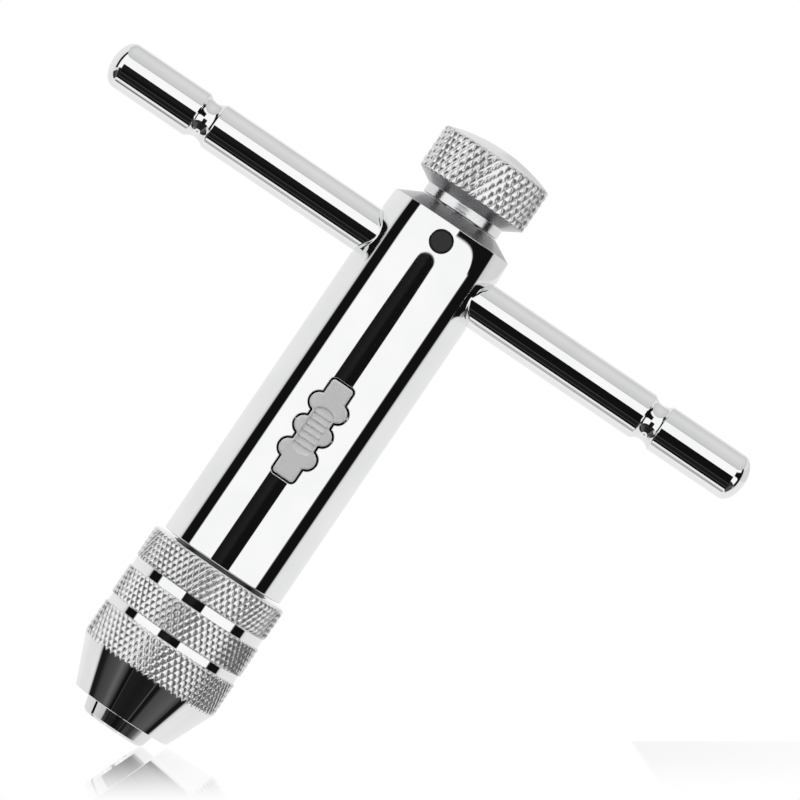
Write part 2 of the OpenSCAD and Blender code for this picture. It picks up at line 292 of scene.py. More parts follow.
class Nodes:
    """A short way to write shader nodes."""

    def __init__(self, name):
        self.mat = bpy.data.materials.new(name)
        self.mat.use_nodes = True
        self.tree = self.mat.node_tree
        self.bsdf = self.tree.nodes["Principled BSDF"]
        self.coord = self.tree.nodes.new("ShaderNodeTexCoord").outputs["Object"]

    def link(self, a, b):
        self.tree.links.new(a, b)

    def mapped(self, scale):
        node = self.tree.nodes.new("ShaderNodeMapping")
        node.inputs["Scale"].default_value = scale
        self.link(self.coord, node.inputs["Vector"])
        return node.outputs["Vector"]

    def noise(self, vector, scale, detail=3, rough=0.5):
        node = self.tree.nodes.new("ShaderNodeTexNoise")
        node.inputs["Scale"].default_value = scale
        node.inputs["Detail"].default_value = detail
        node.inputs["Roughness"].default_value = rough
        self.link(vector, node.inputs["Vector"])
        return node.outputs["Fac"]

    def ramp(self, value, stops):
        node = self.tree.nodes.new("ShaderNodeValToRGB")
        ramp = node.color_ramp
        while len(ramp.elements) < len(stops):
            ramp.elements.new(0.5)
        for element, (place, colour) in zip(ramp.elements, stops):
            element.position = place
            if not isinstance(colour, tuple):
                colour = (colour, colour, colour)
            element.color = (*colour, 1)
        self.link(value, node.inputs["Fac"])
        return node.outputs["Color"]

    def spread(self, value, low, high, a=0.3, b=0.7):
        node = self.tree.nodes.new("ShaderNodeMapRange")
        node.inputs["From Min"].default_value = a
        node.inputs["From Max"].default_value = b
        node.inputs["To Min"].default_value = low
        node.inputs["To Max"].default_value = high
        self.link(value, node.inputs["Value"])
        return node.outputs["Result"]

    def radial(self, amount):
        """Streaks of a turned face, which run across its tool marks."""
        tangent = self.tree.nodes.new("ShaderNodeTangent")
        tangent.direction_type = "RADIAL"
        tangent.axis = "Z"
        self.link(tangent.outputs["Tangent"], self.bsdf.inputs["Tangent"])
        self.bsdf.inputs["Anisotropic"].default_value = amount
        self.bsdf.inputs["Anisotropic Rotation"].default_value = 0.25

    def bump(self, height, strength, distance):
        node = self.tree.nodes.new("ShaderNodeBump")
        node.inputs["Strength"].default_value = strength
        node.inputs["Distance"].default_value = distance
        self.link(height, node.inputs["Height"])
        self.link(node.outputs["Normal"], self.bsdf.inputs["Normal"])


def metal(name, dark, light, rough, grain=900, metallic=1.0):
    """Polished or satin metal with faint uneven colour and roughness."""
    n = Nodes(name)
    n.bsdf.inputs["Metallic"].default_value = metallic
    clouds = n.noise(n.mapped((1, 1, 1)), 160, 4)
    n.link(n.ramp(clouds, [(0.3, dark), (0.7, light)]), n.bsdf.inputs["Base Color"])
    fine = n.noise(n.mapped((1, 1, 1)), grain * 6, 3)
    n.link(n.spread(fine, rough[0], rough[1]), n.bsdf.inputs["Roughness"])
    return n


def turned_metal(name, dark, light, rough, rings, depth):
    """Metal with fine tool marks that run round the Z axis."""
    n = metal(name, dark, light, rough)
    lines = n.noise(n.mapped((1, 1, 60)), rings, 4, 0.6)
    n.bump(lines, 0.5, depth)
    return n


chrome = metal("polished_chrome", (0.90, 0.905, 0.91), (0.95, 0.95, 0.955), (0.008, 0.03))
bar_chrome = metal("bar_chrome", (0.90, 0.905, 0.91), (0.95, 0.95, 0.955), (0.008, 0.025))
knurl_chrome = metal("knurl_chrome", (0.95, 0.95, 0.955), (0.985, 0.985, 0.99), (0.09, 0.18), 900, 0.75)
knob_chrome = turned_metal("turned_chrome", (0.80, 0.805, 0.81), (0.88, 0.885, 0.89), (0.12, 0.22), 120, 2e-5)
satin = metal("satin_nickel", (0.93, 0.93, 0.93), (0.97, 0.97, 0.97), (0.5, 0.6), 1500, 0.12)
satin.bump(satin.noise(satin.mapped((1, 1, 1)), 9000, 4, 0.7), 0.25, 1e-5)
# turned faces: a darker metal, partly the real turned finish and partly painted shade for where these faces
# lie in the gap under the knob
turned_face_and_shade = turned_metal("turned_face_and_shade", (0.44, 0.44, 0.45), (0.54, 0.54, 0.55), (0.24, 0.34), 120, 1e-5)
turned_face_and_shade.radial(0.8)
jaw_steel = turned_metal("polished_steel", (0.80, 0.80, 0.81), (0.88, 0.88, 0.89), (0.03, 0.08), 160, 3e-6)
dark_steel = metal("dark_steel", (0.030, 0.030, 0.032), (0.05, 0.05, 0.053), (0.4, 0.5), 900, 0.2)
tool_steel = turned_metal("tool_steel", (0.07, 0.072, 0.078), (0.14, 0.143, 0.15), (0.28, 0.4), 140, 1e-5)
ground_steel = metal("ground_steel", (0.55, 0.55, 0.56), (0.68, 0.68, 0.69), (0.18, 0.28))
spring_steel = metal("spring_steel", (0.42, 0.42, 0.44), (0.58, 0.58, 0.60), (0.2, 0.3))
bronze = turned_metal("bronze", (0.50, 0.32, 0.17), (0.66, 0.45, 0.25), (0.24, 0.38), 140, 1e-5)
brass = turned_metal("brass", (0.66, 0.50, 0.24), (0.80, 0.64, 0.34), (0.22, 0.34), 140, 1e-5)
rubber = metal("black_rubber", (0.018, 0.018, 0.018), (0.03, 0.03, 0.03), (0.55, 0.7), 700, 0.0)


def paint(obj, *materials):
    obj.data.materials.clear()
    for m in materials:
        obj.data.materials.append(m.mat)


# ---------------------------------------------------------------- cross bar

def build_bar():
    rows = []
    dome_parts = 14
    for k in range(dome_parts + 1):
        t = math.radians(90 * k / dome_parts)
        # an ellipse, so that the dome rolls into the side with no edge
        r = BAR_R * math.sin(t)
        x = -BAR_HALF + BAR_DOME * (1 - math.cos(t))
        n = Vector((math.sin(t) / BAR_R, -math.cos(t) / BAR_DOME)).normalized()
        rows.append((r, x, n.x, n.y))
    groove = arc_points(BAR_R, -BAR_GROOVE_X - BAR_GROOVE_HALF, BAR_R, -BAR_GROOVE_X + BAR_GROOVE_HALF,
                        -BAR_GROOVE_DEPTH, 14)
    edge = 0.07
    left = groove[0]
    rows.append((BAR_R, left[1] - edge, 1, 0))
    rows.append((BAR_R - 0.012, left[1] - 0.01, 0.94, 0.34))
    rows.extend(groove[1:-1])
    right = groove[-1]
    rows.append((BAR_R - 0.012, right[1] + 0.01, 0.94, -0.34))
    rows.append((BAR_R, right[1] + edge, 1, 0))
    mirrored = [(r, -x, nr, -nx) for r, x, nr, nx in reversed(rows)]
    rows.extend(mirrored)
    v, f, n = lathe(rows, 128, closed=False, axis="x", shift=(BAR_SHIFT, 0, BAR_Z))
    bar = make("cross_bar", v, f, n, "bar", ["t_bar"])
    paint(bar, bar_chrome)


# ---------------------------------------------------------------- clamp knob

KNOB_R = 7.45
KNOB_TEETH = 46
KNOB_DIAMOND = 1.84
KNOB_DEPTH = 0.23


def build_knob():
    top = 83.88
    edge_r = 7.2
    crown = arc_points(edge_r, 82.6, 0, top, 0.32, 12)
    crown[-1] = (0, top, 0, 1)
    profile = [
        (0, 70.5, 0), (1.95, 70.5, 0.3), (1.95, 70.9, 0.05), (1.75, 71.15, 0.1), (1.95, 71.4, 0.05),
        (1.95, 72.0, 0.05), (3.45, 72.0, 0.1), (3.8, 72.35, 0.05), (3.8, 74.1, 0.1), (3.5, 74.2, 0.05),
        (3.5, 74.45, 0.05), (5.3, 74.45, 0.12), (5.3, 75.7, 0.1), (7.42, 76.98, 0.04),
        (7.45, 77.05, 0.02), (7.45, 82.35, 0.03), (7.2, 82.6, 0.04)]
    rows = rounded(profile, closed=False)
    rows = rows[:-1] + crown
    step = KNOB_DIAMOND / 8
    rows = filled(rows, [(76.5, 82.6)], step)
    v, f, n, flat = knurled(rows, KNOB_TEETH * 8, KNOB_R, KNOB_DEPTH, KNOB_DIAMOND, 77.0, 76.2, 82.6,
                            lambda z: -0.12)
    knob = make("clamp_screw", v, f, n, "knob", ["clamp_knob"], flat)
    tidy(knob)
    paint(knob, knob_chrome, knurl_chrome, turned_face_and_shade)
    for p in knob.data.polygons:
        c = p.center / MM
        r = math.hypot(c.x, c.y)
        if 76.9 < c.z < 82.5 and r > 7.0:
            p.material_index = 1
        # the knob's under-cone gets the turned faces' darker metal, which carries painted shade
        elif 75.72 < c.z <= 76.9 and r > 5.2:
            p.material_index = 2


def tidy(obj):
    """Drops faces with no area, which the rows on the axis leave."""
    bm = bmesh.new()
    bm.from_mesh(obj.data)
    bmesh.ops.dissolve_degenerate(bm, dist=1e-7, edges=bm.edges)
    bm.to_mesh(obj.data)
    bm.free()


# ---------------------------------------------------------------- chuck sleeve

SLEEVE_R = 9.3
SLEEVE_TEETH = 68
SLEEVE_DIAMOND = 1.44
SLEEVE_DEPTH = 0.2


def build_sleeve():
    def jaw_r(z):
        return NOSE_R + z * JAW_SLOPE

    groove_r = 9.05
    bevel = 0.12
    profile = [
        (jaw_r(2) + 0.06, 2.0, 0.05), (6.54, 2.0, 0.04), (6.6, 2.06, 0.04), (SLEEVE_R, 8.3, 0.02),
        (SLEEVE_R, 12.5 - bevel, 0.02), (groove_r, 12.5 + bevel, 0.03), (groove_r, 13.7 - bevel, 0.03),
        (SLEEVE_R, 13.7 + bevel, 0.02), (SLEEVE_R, 17.6 - bevel, 0.02), (groove_r, 17.6 + bevel, 0.03),
        (groove_r, 19.0 - bevel, 0.03), (SLEEVE_R, 19.0 + bevel, 0.02), (SLEEVE_R, 23.2, 0.5),
        (6.65, 23.2, 0.12), (6.65, 21.95, 0.1), (7.4, 21.95, 0.1), (7.4, 20.85, 0.1), (6.65, 20.85, 0.1),
        (6.65, 16.9, 0.1), (6.3, 16.85, 0.05), (6.3, 12.8, 0.05), (jaw_r(12.6) + 0.06, 12.6, 0.05)]
    rows = rounded(profile)
    step = SLEEVE_DIAMOND / 8
    rows = filled(rows, [(7.2, 23.0)], step)
    v, f, n, flat = knurled(rows, SLEEVE_TEETH * 8, SLEEVE_R, SLEEVE_DEPTH, SLEEVE_DIAMOND, 7.2, 7.85, 23.0,
                            lambda z: 0.12 if z < 12.5 else 0.06 if z < 18 else -0.12)
    sleeve = make("chuck_sleeve", v, f, n, "sleeve", ["sleeve"], flat)
    paint(sleeve, chrome, knurl_chrome)
    flat = set(flat)
    for p in sleeve.data.polygons:
        p.material_index = 1 if p.index in flat else 0


# ---------------------------------------------------------------- barrel

DUB_START = 67.6
DUB_LEAN = math.radians(4.0)
COLUMNS = 216
SHEET_LOW = 23.82
SHEET_HIGH = 72.74
SHEET_ROWS = 60

# the direction switch's outline, measured from its middle
WINDOW_Z = 43.2
WINDOW_GAP = 0.33
SWITCH_REACH = 6.5
NECK_HALF_W = 1.25
LOBE_HALF_W = 2.375
LOBE_HALF_H = 1.05
LOBE_PITCH = 3.29
TAB_HALF_W = 1.375
TAB_CORNER = 0.35


def lean_at(z):
    """How far polishing has leaned the wall inwards near its top edge."""
    if z <= DUB_START:
        return 0.0
    return DUB_LEAN * ((z - DUB_START) / (BARREL_SHOULDER - DUB_START)) ** 1.1


def wall_r(z):
    if z <= DUB_START:
        return BARREL_R
    length = BARREL_SHOULDER - DUB_START
    return BARREL_R - length * DUB_LEAN * ((z - DUB_START) / length) ** 2.1 / 2.1


def on_wall(turn, z):
    r = wall_r(z)
    return (r * math.sin(turn), -r * math.cos(turn), z)


def wall_normal(turn, z):
    lean = lean_at(z)
    return (math.sin(turn) * math.cos(lean), -math.cos(turn) * math.cos(lean), math.sin(lean))


def switch_half_width(z, gap):
    """Half the width of the switch's outline, grown by a gap, at a height above its middle."""
    widths = [0.0]
    if abs(z) <= SWITCH_REACH:
        widths.append(NECK_HALF_W + gap)
    half_h = LOBE_HALF_H + gap
    half_w = LOBE_HALF_W + gap
    for middle in (-LOBE_PITCH, 0.0, LOBE_PITCH):
        d = z - middle
        if abs(d) < half_h:
            widths.append(half_w - half_h + math.sqrt(half_h * half_h - d * d))
    corner = TAB_CORNER + gap
    tab = TAB_HALF_W + gap
    reach = SWITCH_REACH + gap
    past = abs(z) - (reach - corner)
    if past <= 0:
        widths.append(tab)
    elif past <= corner:
        widths.append(tab - corner + math.sqrt(max(0.0, corner * corner - past * past)))
    return max(widths)


def switch_loop(gap, step=0.11):
    """The switch's outline, counter-clockwise in x and z about its middle."""
    reach = SWITCH_REACH + gap
    corner = TAB_CORNER + gap
    heights = []
    count = math.ceil(2 * (reach - corner) / step)
    for k in range(count + 1):
        heights.append(-(reach - corner) + 2 * (reach - corner) * k / count)
    ends = [reach - corner + corner * math.sin(math.radians(90 * k / 6)) for k in range(1, 7)]
    heights = [-z for z in reversed(ends)] + heights + ends
    right = [(switch_half_width(z, gap), z) for z in heights]
    left = [(-x, z) for x, z in reversed(right)]
    return right + left


def recess_loop(half_w, half_h, end_r, parts=10):
    reach = math.asin(half_w / end_r)
    top = []
    for k in range(parts + 1):
        a = reach - 2 * reach * k / parts
        top.append((end_r * math.sin(a), half_h - end_r + end_r * math.cos(a)))
    bottom = [(-x, -z) for x, z in top]
    return bottom + top


def loop_normals(loop):
    """Outward directions of a counter-clockwise loop."""
    out = []
    n = len(loop)
    for i in range(n):
        a = Vector(loop[i - 1])
        b = Vector(loop[(i + 1) % n])
        d = (b - a).normalized()
        out.append(Vector((d.y, -d.x)))
    return out


def offset_loop(loop, by):
    return [(p[0] + m.x * by, p[1] + m.y * by) for p, m in zip(loop, loop_normals(loop))]


def inside(point, loop):
    x, y = point
    odd = False
    for i in range(len(loop)):
        x0, y0 = loop[i - 1]
        x1, y1 = loop[i]
        if (y0 > y) != (y1 > y) and x < (x1 - x0) * (y - y0) / (y1 - y0) + x0:
            odd = not odd
    return odd


def near_loop(point, loop, gap):
    return any(abs(point[0] - q[0]) < gap and abs(point[1] - q[1]) < gap for q in loop)


def fill_sheet(border, holes, grid, gap):
    """Triangles between a border and its holes.
    Gives points, triangles and, for each input point, its index."""
    points = list(border)
    edges = [(i, (i + 1) % len(border)) for i in range(len(border))]
    for hole in holes:
        base = len(points)
        points.extend(hole)
        edges.extend([(base + i, base + (i + 1) % len(hole)) for i in range(len(hole))])
    loops = [border] + holes
    for p in grid:
        if any(near_loop(p, loop, gap) for loop in loops):
            continue
        if any(inside(p, hole) for hole in holes) or not inside(p, border):
            continue
        points.append(p)
    result = delaunay_2d_cdt([Vector(p) for p in points], edges, [], 0, 1e-6)
    out_points, _, out_faces, origin = result[0], result[1], result[2], result[3]
    index = {}
    for i, sources in enumerate(origin):
        for source in sources:
            index[source] = i
    triangles = []
    for face in out_faces:
        middle = (sum(out_points[i].x for i in face) / 3, sum(out_points[i].y for i in face) / 3)
        if inside(middle, border) and not any(inside(middle, hole) for hole in holes):
            triangles.append(tuple(face))
    return out_points, triangles, index


def blend(a, b, t):
    """A direction part of the way from a to b."""
    a = Vector(a)
    b = Vector(b)
    angle = a.angle(b)
    if angle < 1e-4:
        return tuple(b)
    s = math.sin(angle)
    v = a * (math.sin((1 - t) * angle) / s) + b * (math.sin(t * angle) / s)
    return tuple(v.normalized())


class Builder:
    """Collects the vertices, normals and faces of one piece."""

    def __init__(self):
        self.verts = []
        self.normals = []
        self.faces = []

    def add(self, point, normal):
        self.verts.append(tuple(point))
        self.normals.append(None if normal is None else tuple(normal))
        return len(self.verts) - 1

    def strip(self, first, second):
        """Quads between two closed rings of vertices."""
        n = len(first)
        for i in range(n):
            k = (i + 1) % n
            self.faces.append((first[i], first[k], second[k], second[i]))


def rim_of_bar_hole(side):
    """The polished round edge where the cross hole meets the wall: rings from the wall's surface inwards."""
    count = 112
    parts = 9
    rings = [[] for _ in range(parts + 1)]
    for k in range(count):
        a = TURN * k / count
        ey = math.cos(a)
        ez = math.sin(a)
        rho = 0.35 + 0.85 * ey * ey

        def surface_x(t):
            r = wall_r(BAR_Z + t * ez)
            return math.sqrt(max(0.0, r * r - t * t * ey * ey))

        tc = BAR_HOLE_R + rho
        low = 3.0
        high = BARREL_R

        def nearest(xc):
            best = (9.0, tc)
            for m in range(41):
                t = tc - 0.2 * rho + 1.2 * rho * m / 40
                d = math.hypot(surface_x(t) - xc, t - tc)
                if d < best[0]:
                    best = (d, t)
            return best

        for _ in range(26):
            xc = (low + high) / 2
            if nearest(xc)[0] > rho:
                low = xc
            else:
                high = xc
        t1 = nearest(xc)[1]
        x1 = surface_x(t1)
        end = math.atan2(t1 - tc, x1 - xc)
        y1 = t1 * ey
        z1 = BAR_Z + t1 * ez
        turn = math.atan2(side * x1, -y1)
        top_normal = wall_normal(turn, z1)
        for m in range(parts + 1):
            f = m / parts
            angle = end + (-math.pi / 2 - end) * f
            x = xc + rho * math.cos(angle)
            t = tc + rho * math.sin(angle)
            if m == 0:
                rings[m].append(((turn, z1), (side * x1, y1, z1), top_normal))
            else:
                point = (side * x, t * ey, BAR_Z + t * ez)
                rings[m].append((None, point, blend(top_normal, (0, -ey, -ez), f)))
    return rings


def build_barrel():
    b = Builder()
    r = BARREL_R
    bar_rims = [rim_of_bar_hole(side) for side in (-1, 1)]
    window = [(x, z + WINDOW_Z) for x, z in switch_loop(WINDOW_GAP)]
    pin = [(PIN_HOLE_R * math.cos(TURN * k / 72), PIN_Z + PIN_HOLE_R * math.sin(TURN * k / 72))
           for k in range(72)]
    edge = 0.09
    flat_holes = [(window, edge, CAVITY_R - 0.04), (pin, 0.08, CLAMP_BORE_R - 0.04)]
    holes = []
    for rim in bar_rims:
        holes.append([(r * q[0][0], q[0][1]) for q in rim[0]])
    for loop, bevel, _ in flat_holes:
        holes.append([(r * math.asin(x / wall_r(z)), z) for x, z in offset_loop(loop, bevel)])
    border = []
    for k in range(COLUMNS):
        border.append((r * (-math.pi + TURN * k / COLUMNS), SHEET_LOW))
    rows = [SHEET_LOW + (SHEET_HIGH - SHEET_LOW) * k / SHEET_ROWS for k in range(SHEET_ROWS + 1)]
    for z in rows[:-1]:
        border.append((r * math.pi, z))
    for k in range(COLUMNS, 0, -1):
        border.append((r * (-math.pi + TURN * k / COLUMNS), SHEET_HIGH))
    for z in reversed(rows[1:]):
        border.append((-r * math.pi, z))
    grid = []
    fine = [66.5 + 0.45 * k for k in range(14)]
    for z in [25.3 + 1.6 * k for k in range(25)] + fine:
        for k in range(1, COLUMNS):
            grid.append((r * (-math.pi + TURN * k / COLUMNS), z))
    points, triangles, index = fill_sheet(border, holes, grid, 0.13)
    where = []
    seam = {}
    for p in points:
        turn = p.x / r
        if turn > math.pi - 1e-4:
            turn = -math.pi
        if abs(turn + math.pi) < 1e-4:
            key = round(p.y, 4)
            if key not in seam:
                seam[key] = b.add(on_wall(-math.pi, p.y), wall_normal(-math.pi, p.y))
            where.append(seam[key])
        else:
            where.append(b.add(on_wall(turn, p.y), wall_normal(turn, p.y)))
    for face in triangles:
        b.faces.append(tuple(where[i] for i in face))
    start = len(border)
    # polished rims of the cross hole, then its wall down to where the frame's own mesh takes over
    for rim, side in zip(bar_rims, (-1, 1)):
        count = len(rim[0])
        ring = [where[index[start + i]] for i in range(count)]
        start += count
        for row in rim[1:]:
            after = [b.add(q[1], q[2]) for q in row]
            pair = (ring, after) if side < 0 else (after, ring)
            b.strip(*pair)
            ring = after
        inner = []
        for k in range(count):
            a = TURN * k / count
            y = BAR_HOLE_R * math.cos(a)
            z = BAR_HOLE_R * math.sin(a)
            inner.append(b.add((side * 5.5, y, BAR_Z + z), (0, -math.cos(a), -math.sin(a))))
        pair = (ring, inner) if side < 0 else (inner, ring)
        b.strip(*pair)
    # softened edges and walls of the window and the pin's hole
    for loop, bevel, floor_r in flat_holes:
        count = len(loop)
        ring = [where[index[start + i]] for i in range(count)]
        start += count
        outward = loop_normals(loop)
        for m in range(1, 4):
            a = math.radians(90 * m / 3)
            after = []
            for (x, z), d in zip(loop, outward):
                out_by = bevel * (1 - math.sin(a))
                px = x + d.x * out_by
                pz = z + d.y * out_by
                depth = bevel * (1 - math.cos(a))
                rr = wall_r(pz)
                turn = math.asin(px / rr)
                normal = blend(wall_normal(turn, pz), (-d.x, 0, -d.y), m / 3)
                after.append(b.add((px, -math.sqrt(rr * rr - px * px) + depth, pz), normal))
            b.strip(after, ring)
            ring = after
        after = []
        for (x, z), d in zip(loop, outward):
            after.append(b.add((x, -math.sqrt(floor_r * floor_r - x * x), z), (-d.x, 0, -d.y)))
        b.strip(after, ring)
    # lower and upper ends
    low = [where[index[k]] for k in range(COLUMNS)]
    top_start = COLUMNS + SHEET_ROWS
    high = [where[index[top_start + (COLUMNS - k)]] if k else None for k in range(COLUMNS)]
    high[0] = seam[round(SHEET_HIGH, 4)]

    def ring_of(row):
        out = []
        for k in range(COLUMNS):
            turn = -math.pi + TURN * k / COLUMNS
            s = math.sin(turn)
            c = -math.cos(turn)
            out.append(b.add((row[0] * s, row[0] * c, row[1]), (row[2] * s, row[2] * c, row[3])))
        return out

    bottom = rounded([(BUSH_BORE_R, 24.4, 0), (BUSH_BORE_R, BARREL_BOTTOM, 0.12), (r, BARREL_BOTTOM, 0.2),
                      (r, 30, 0)], closed=False)
    ring = low
    for row in reversed(bottom[1:-2]):
        after = ring_of(row)
        b.strip(after, ring)
        ring = after
    wall_top = wall_r(SHEET_HIGH)
    top = rounded([(wall_top, SHEET_HIGH - 1, 0), (wall_r(BARREL_SHOULDER), BARREL_SHOULDER, 0.05),
                   (BARREL_TOP_R, BARREL_TOP, 0.12), (CLAMP_BORE_R + 0.02, BARREL_TOP, 0.1),
                   (CLAMP_BORE_R + 0.02, BARREL_TOP - 0.6, 0)], closed=False)
    ring = high
    for row in top[1:]:
        after = ring_of(row)
        b.strip(ring, after)
        ring = after
    # the bores come from the frame's own mesh
    bm = bmesh.new()
    bm.from_mesh(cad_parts["barrel"].data)
    for x, way in ((-5.5, -1), (5.5, 1)):
        hole_faces = [f for f in bm.faces
                      if all(math.hypot(v.co.y, v.co.z - BAR_Z * MM) < 3.3 * MM for v in f.verts)]
        geom = set(hole_faces)
        for f in hole_faces:
            geom.update(f.edges)
            geom.update(f.verts)
        bmesh.ops.bisect_plane(bm, geom=list(geom), dist=1e-7, plane_co=(x * MM, 0, 0), plane_no=(way, 0, 0))
    taken = {}
    for f in bm.faces:
        co = [v.co / MM for v in f.verts]
        if max(math.hypot(c.x, c.y) for c in co) > 7.7 or min(c.z for c in co) > 74.2:
            continue
        middle = f.calc_center_median() / MM
        if abs(middle.x) > 5.5 and math.hypot(middle.y, middle.z - BAR_Z) < 3.9 and middle.z > 60:
            continue
        face = []
        for c in co:
            spot = (round(c.x, 5), round(c.y, 5), round(c.z, 5))
            if spot not in taken:
                taken[spot] = b.add(c, None)
            face.append(taken[spot])
        if len(set(face)) > 2:
            b.faces.append(tuple(face))
    bm.free()
    shell = make("barrel_shell", b.verts, b.faces, b.normals, "barrel", ["barrel"])
    paint(shell, chrome, turned_face_and_shade, knob_chrome, satin)
    for p in shell.data.polygons:
        c = p.center / MM
        from_axis = math.hypot(c.x, c.y)
        in_window = abs(c.x) < 3 and abs(c.z - WINDOW_Z) < 7.5 and c.y < 0.5 - CAVITY_R
        # the barrel's top cone, under the knob, gets the turned faces' darker metal, which carries painted
        # shade
        if c.z > BARREL_SHOULDER + 0.03 and from_axis > 4.05:
            p.material_index = 1
        elif in_window and from_axis < 8.2:
            p.material_index = 3
        elif from_axis < 7.65 and abs(c.x) < 5.4:
            p.material_index = 2


# ---------------------------------------------------------------- direction switch

SWITCH_FACE = 8.45
SWITCH_CROWN = 8.62
SWITCH_BACK = 7.4
RECESS_DEPTH = 0.4
RIB_COUNT = 6
RIB_PITCH = 0.84
RIB_HALF_W = 0.21
RIB_PROUD = 0.3


def switch_front(x, face=SWITCH_FACE):
    """How far in front of the axis the switch's face lies."""
    return min(face, math.sqrt(SWITCH_CROWN * SWITCH_CROWN - x * x))


def build_switch():
    b = Builder()
    outer = switch_loop(0.1)
    bevel = 0.24
    lip = 0.1
    floor = SWITCH_FACE - RECESS_DEPTH
    recess = recess_loop(1.3, 3.1, 1.75)
    border = offset_loop(outer, -bevel)
    hole = offset_loop(recess, lip)
    grid = [(0.45 * i, 0.45 * k) for i in range(-6, 7) for k in range(-15, 16)]
    points, triangles, index = fill_sheet(border, [hole], grid, 0.1)
    place = []
    for p in points:
        y = switch_front(p.x)
        tilt = 0 if y >= SWITCH_FACE - 1e-6 else math.asin(p.x / SWITCH_CROWN)
        place.append(b.add((p.x, -y, WINDOW_Z + p.y), (math.sin(tilt), -math.cos(tilt), 0)))
    for face in triangles:
        b.faces.append(tuple(place[i] for i in face))
    ring = [place[index[k]] for k in range(len(border))]
    outward = loop_normals(outer)
    for m in range(1, 5):
        a = math.radians(90 * m / 4)
        after = []
        for (x, z), d in zip(outer, outward):
            px = x - d.x * bevel * (1 - math.sin(a))
            pz = z - d.y * bevel * (1 - math.sin(a))
            y = switch_front(px) - bevel * (1 - math.cos(a))
            after.append(b.add((px, -y, WINDOW_Z + pz), blend((0, -1, 0), (d.x, 0, d.y), m / 4)))
        b.strip(ring, after)
        ring = after
    after = [b.add((x, -SWITCH_BACK, WINDOW_Z + z), (d.x, 0, d.y)) for (x, z), d in zip(outer, outward)]
    b.strip(ring, after)
    ring = [place[index[len(border) + k]] for k in range(len(hole))]
    inward = loop_normals(recess)
    for m in range(1, 5):
        a = math.radians(90 * m / 4)
        after = []
        for (x, z), d in zip(recess, inward):
            grow = lip * (1 - math.sin(a))
            y = SWITCH_FACE - lip * (1 - math.cos(a))
            normal = blend((0, -1, 0), (-d.x, 0, -d.y), m / 4)
            after.append(b.add((x + d.x * grow, -y, WINDOW_Z + z + d.y * grow), normal))
        b.strip(ring, after)
        ring = after
    after = [b.add((x, -floor, WINDOW_Z + z), (-d.x, 0, -d.y)) for (x, z), d in zip(recess, inward)]
    b.strip(ring, after)
    bottom, triangles, _ = fill_sheet(recess, [], [], 0.1)
    place = [b.add((p.x, -floor, WINDOW_Z + p.y), (0, -1, 0)) for p in bottom]
    for face in triangles:
        b.faces.append(tuple(place[i] for i in face))
    # thumb ribs: half-round bars with rounded ends
    for k in range(RIB_COUNT):
        middle = WINDOW_Z + RIB_PITCH * (k - (RIB_COUNT - 1) / 2)
        rows = []
        for m in range(9):
            a = math.pi * m / 8
            rows.append((RIB_HALF_W * math.cos(a), RIB_PROUD * math.sin(a)))
        sections = []
        for x, share in ((-1.2, 0.0), (-1.17, 0.5), (-1.1, 0.85), (-0.98, 1.0), (0.98, 1.0), (1.1, 0.85),
                         (1.17, 0.5), (1.2, 0.0)):
            ring = []
            for dz, dy in rows:
                lean = (1 - share) * (1 if x > 0 else -1)
                n = Vector((lean, -dy / 0.09, dz / 0.0441)).normalized()
                ring.append(b.add((x, -floor + 0.02 - dy * share, middle + dz * (0.4 + 0.6 * share)), n))
            sections.append(ring)
        for first, second in zip(sections, sections[1:]):
            for m in range(8):
                b.faces.append((first[m], first[m + 1], second[m + 1], second[m]))
    # the boss, the pivot hole and the back come from the frame's own mesh
    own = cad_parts["rocker"].data
    taken = {}
    for face in own.polygons:
        co = [own.vertices[v].co / MM for v in face.vertices]
        if min(c.y for c in co) < -SWITCH_BACK - 0.01:
            continue
        for v, c in zip(face.vertices, co):
            if v not in taken:
                taken[v] = b.add(c, None)
        b.faces.append(tuple(taken[v] for v in face.vertices))
    plate = make("switch_plate", b.verts, b.faces, b.normals, "switch", ["rocker"])
    paint(plate, satin)


# ---------------------------------------------------------------- simple turned pieces

def build_small():
    rows = rounded([(0, PIN_FACE_Y, 0), (1.2, PIN_FACE_Y, 0.08), (PIN_R, PIN_FACE_Y + 0.2, 0.08),
                    (PIN_R, PIN_TIP_Y, 0.08), (0, PIN_TIP_Y, 0)], closed=False)
    v, f, n = lathe(rows, 64, closed=False, axis="y", shift=(0, 0, PIN_Z))
    pin = make("guide_peg", v, f, n, "barrel", ["guide_pin"])
    paint(pin, dark_steel)


# pieces that are shown with the frame's own mesh
cad_finish = {
    "lower_bush": bronze, "lower_washer": ground_steel, "upper_washer": ground_steel,
    "retaining_ring": dark_steel, "rocker_pin": ground_steel,
    "pressure_pad": brass, "tip_ring": dark_steel, "detent_ball": ground_steel,
    "detent_spring": spring_steel, "spindle": tool_steel, "jaw_a": jaw_steel, "jaw_b": jaw_steel,
    "jaw_springs": spring_steel, "drag_ring": rubber}
for node, finish in cad_finish.items():
    paint(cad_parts[node], finish)

build_bar()
build_knob()
build_sleeve()
build_barrel()
build_switch()
build_small()


# ---------------------------------------------------------------- studio

TILT = math.radians(34.15)


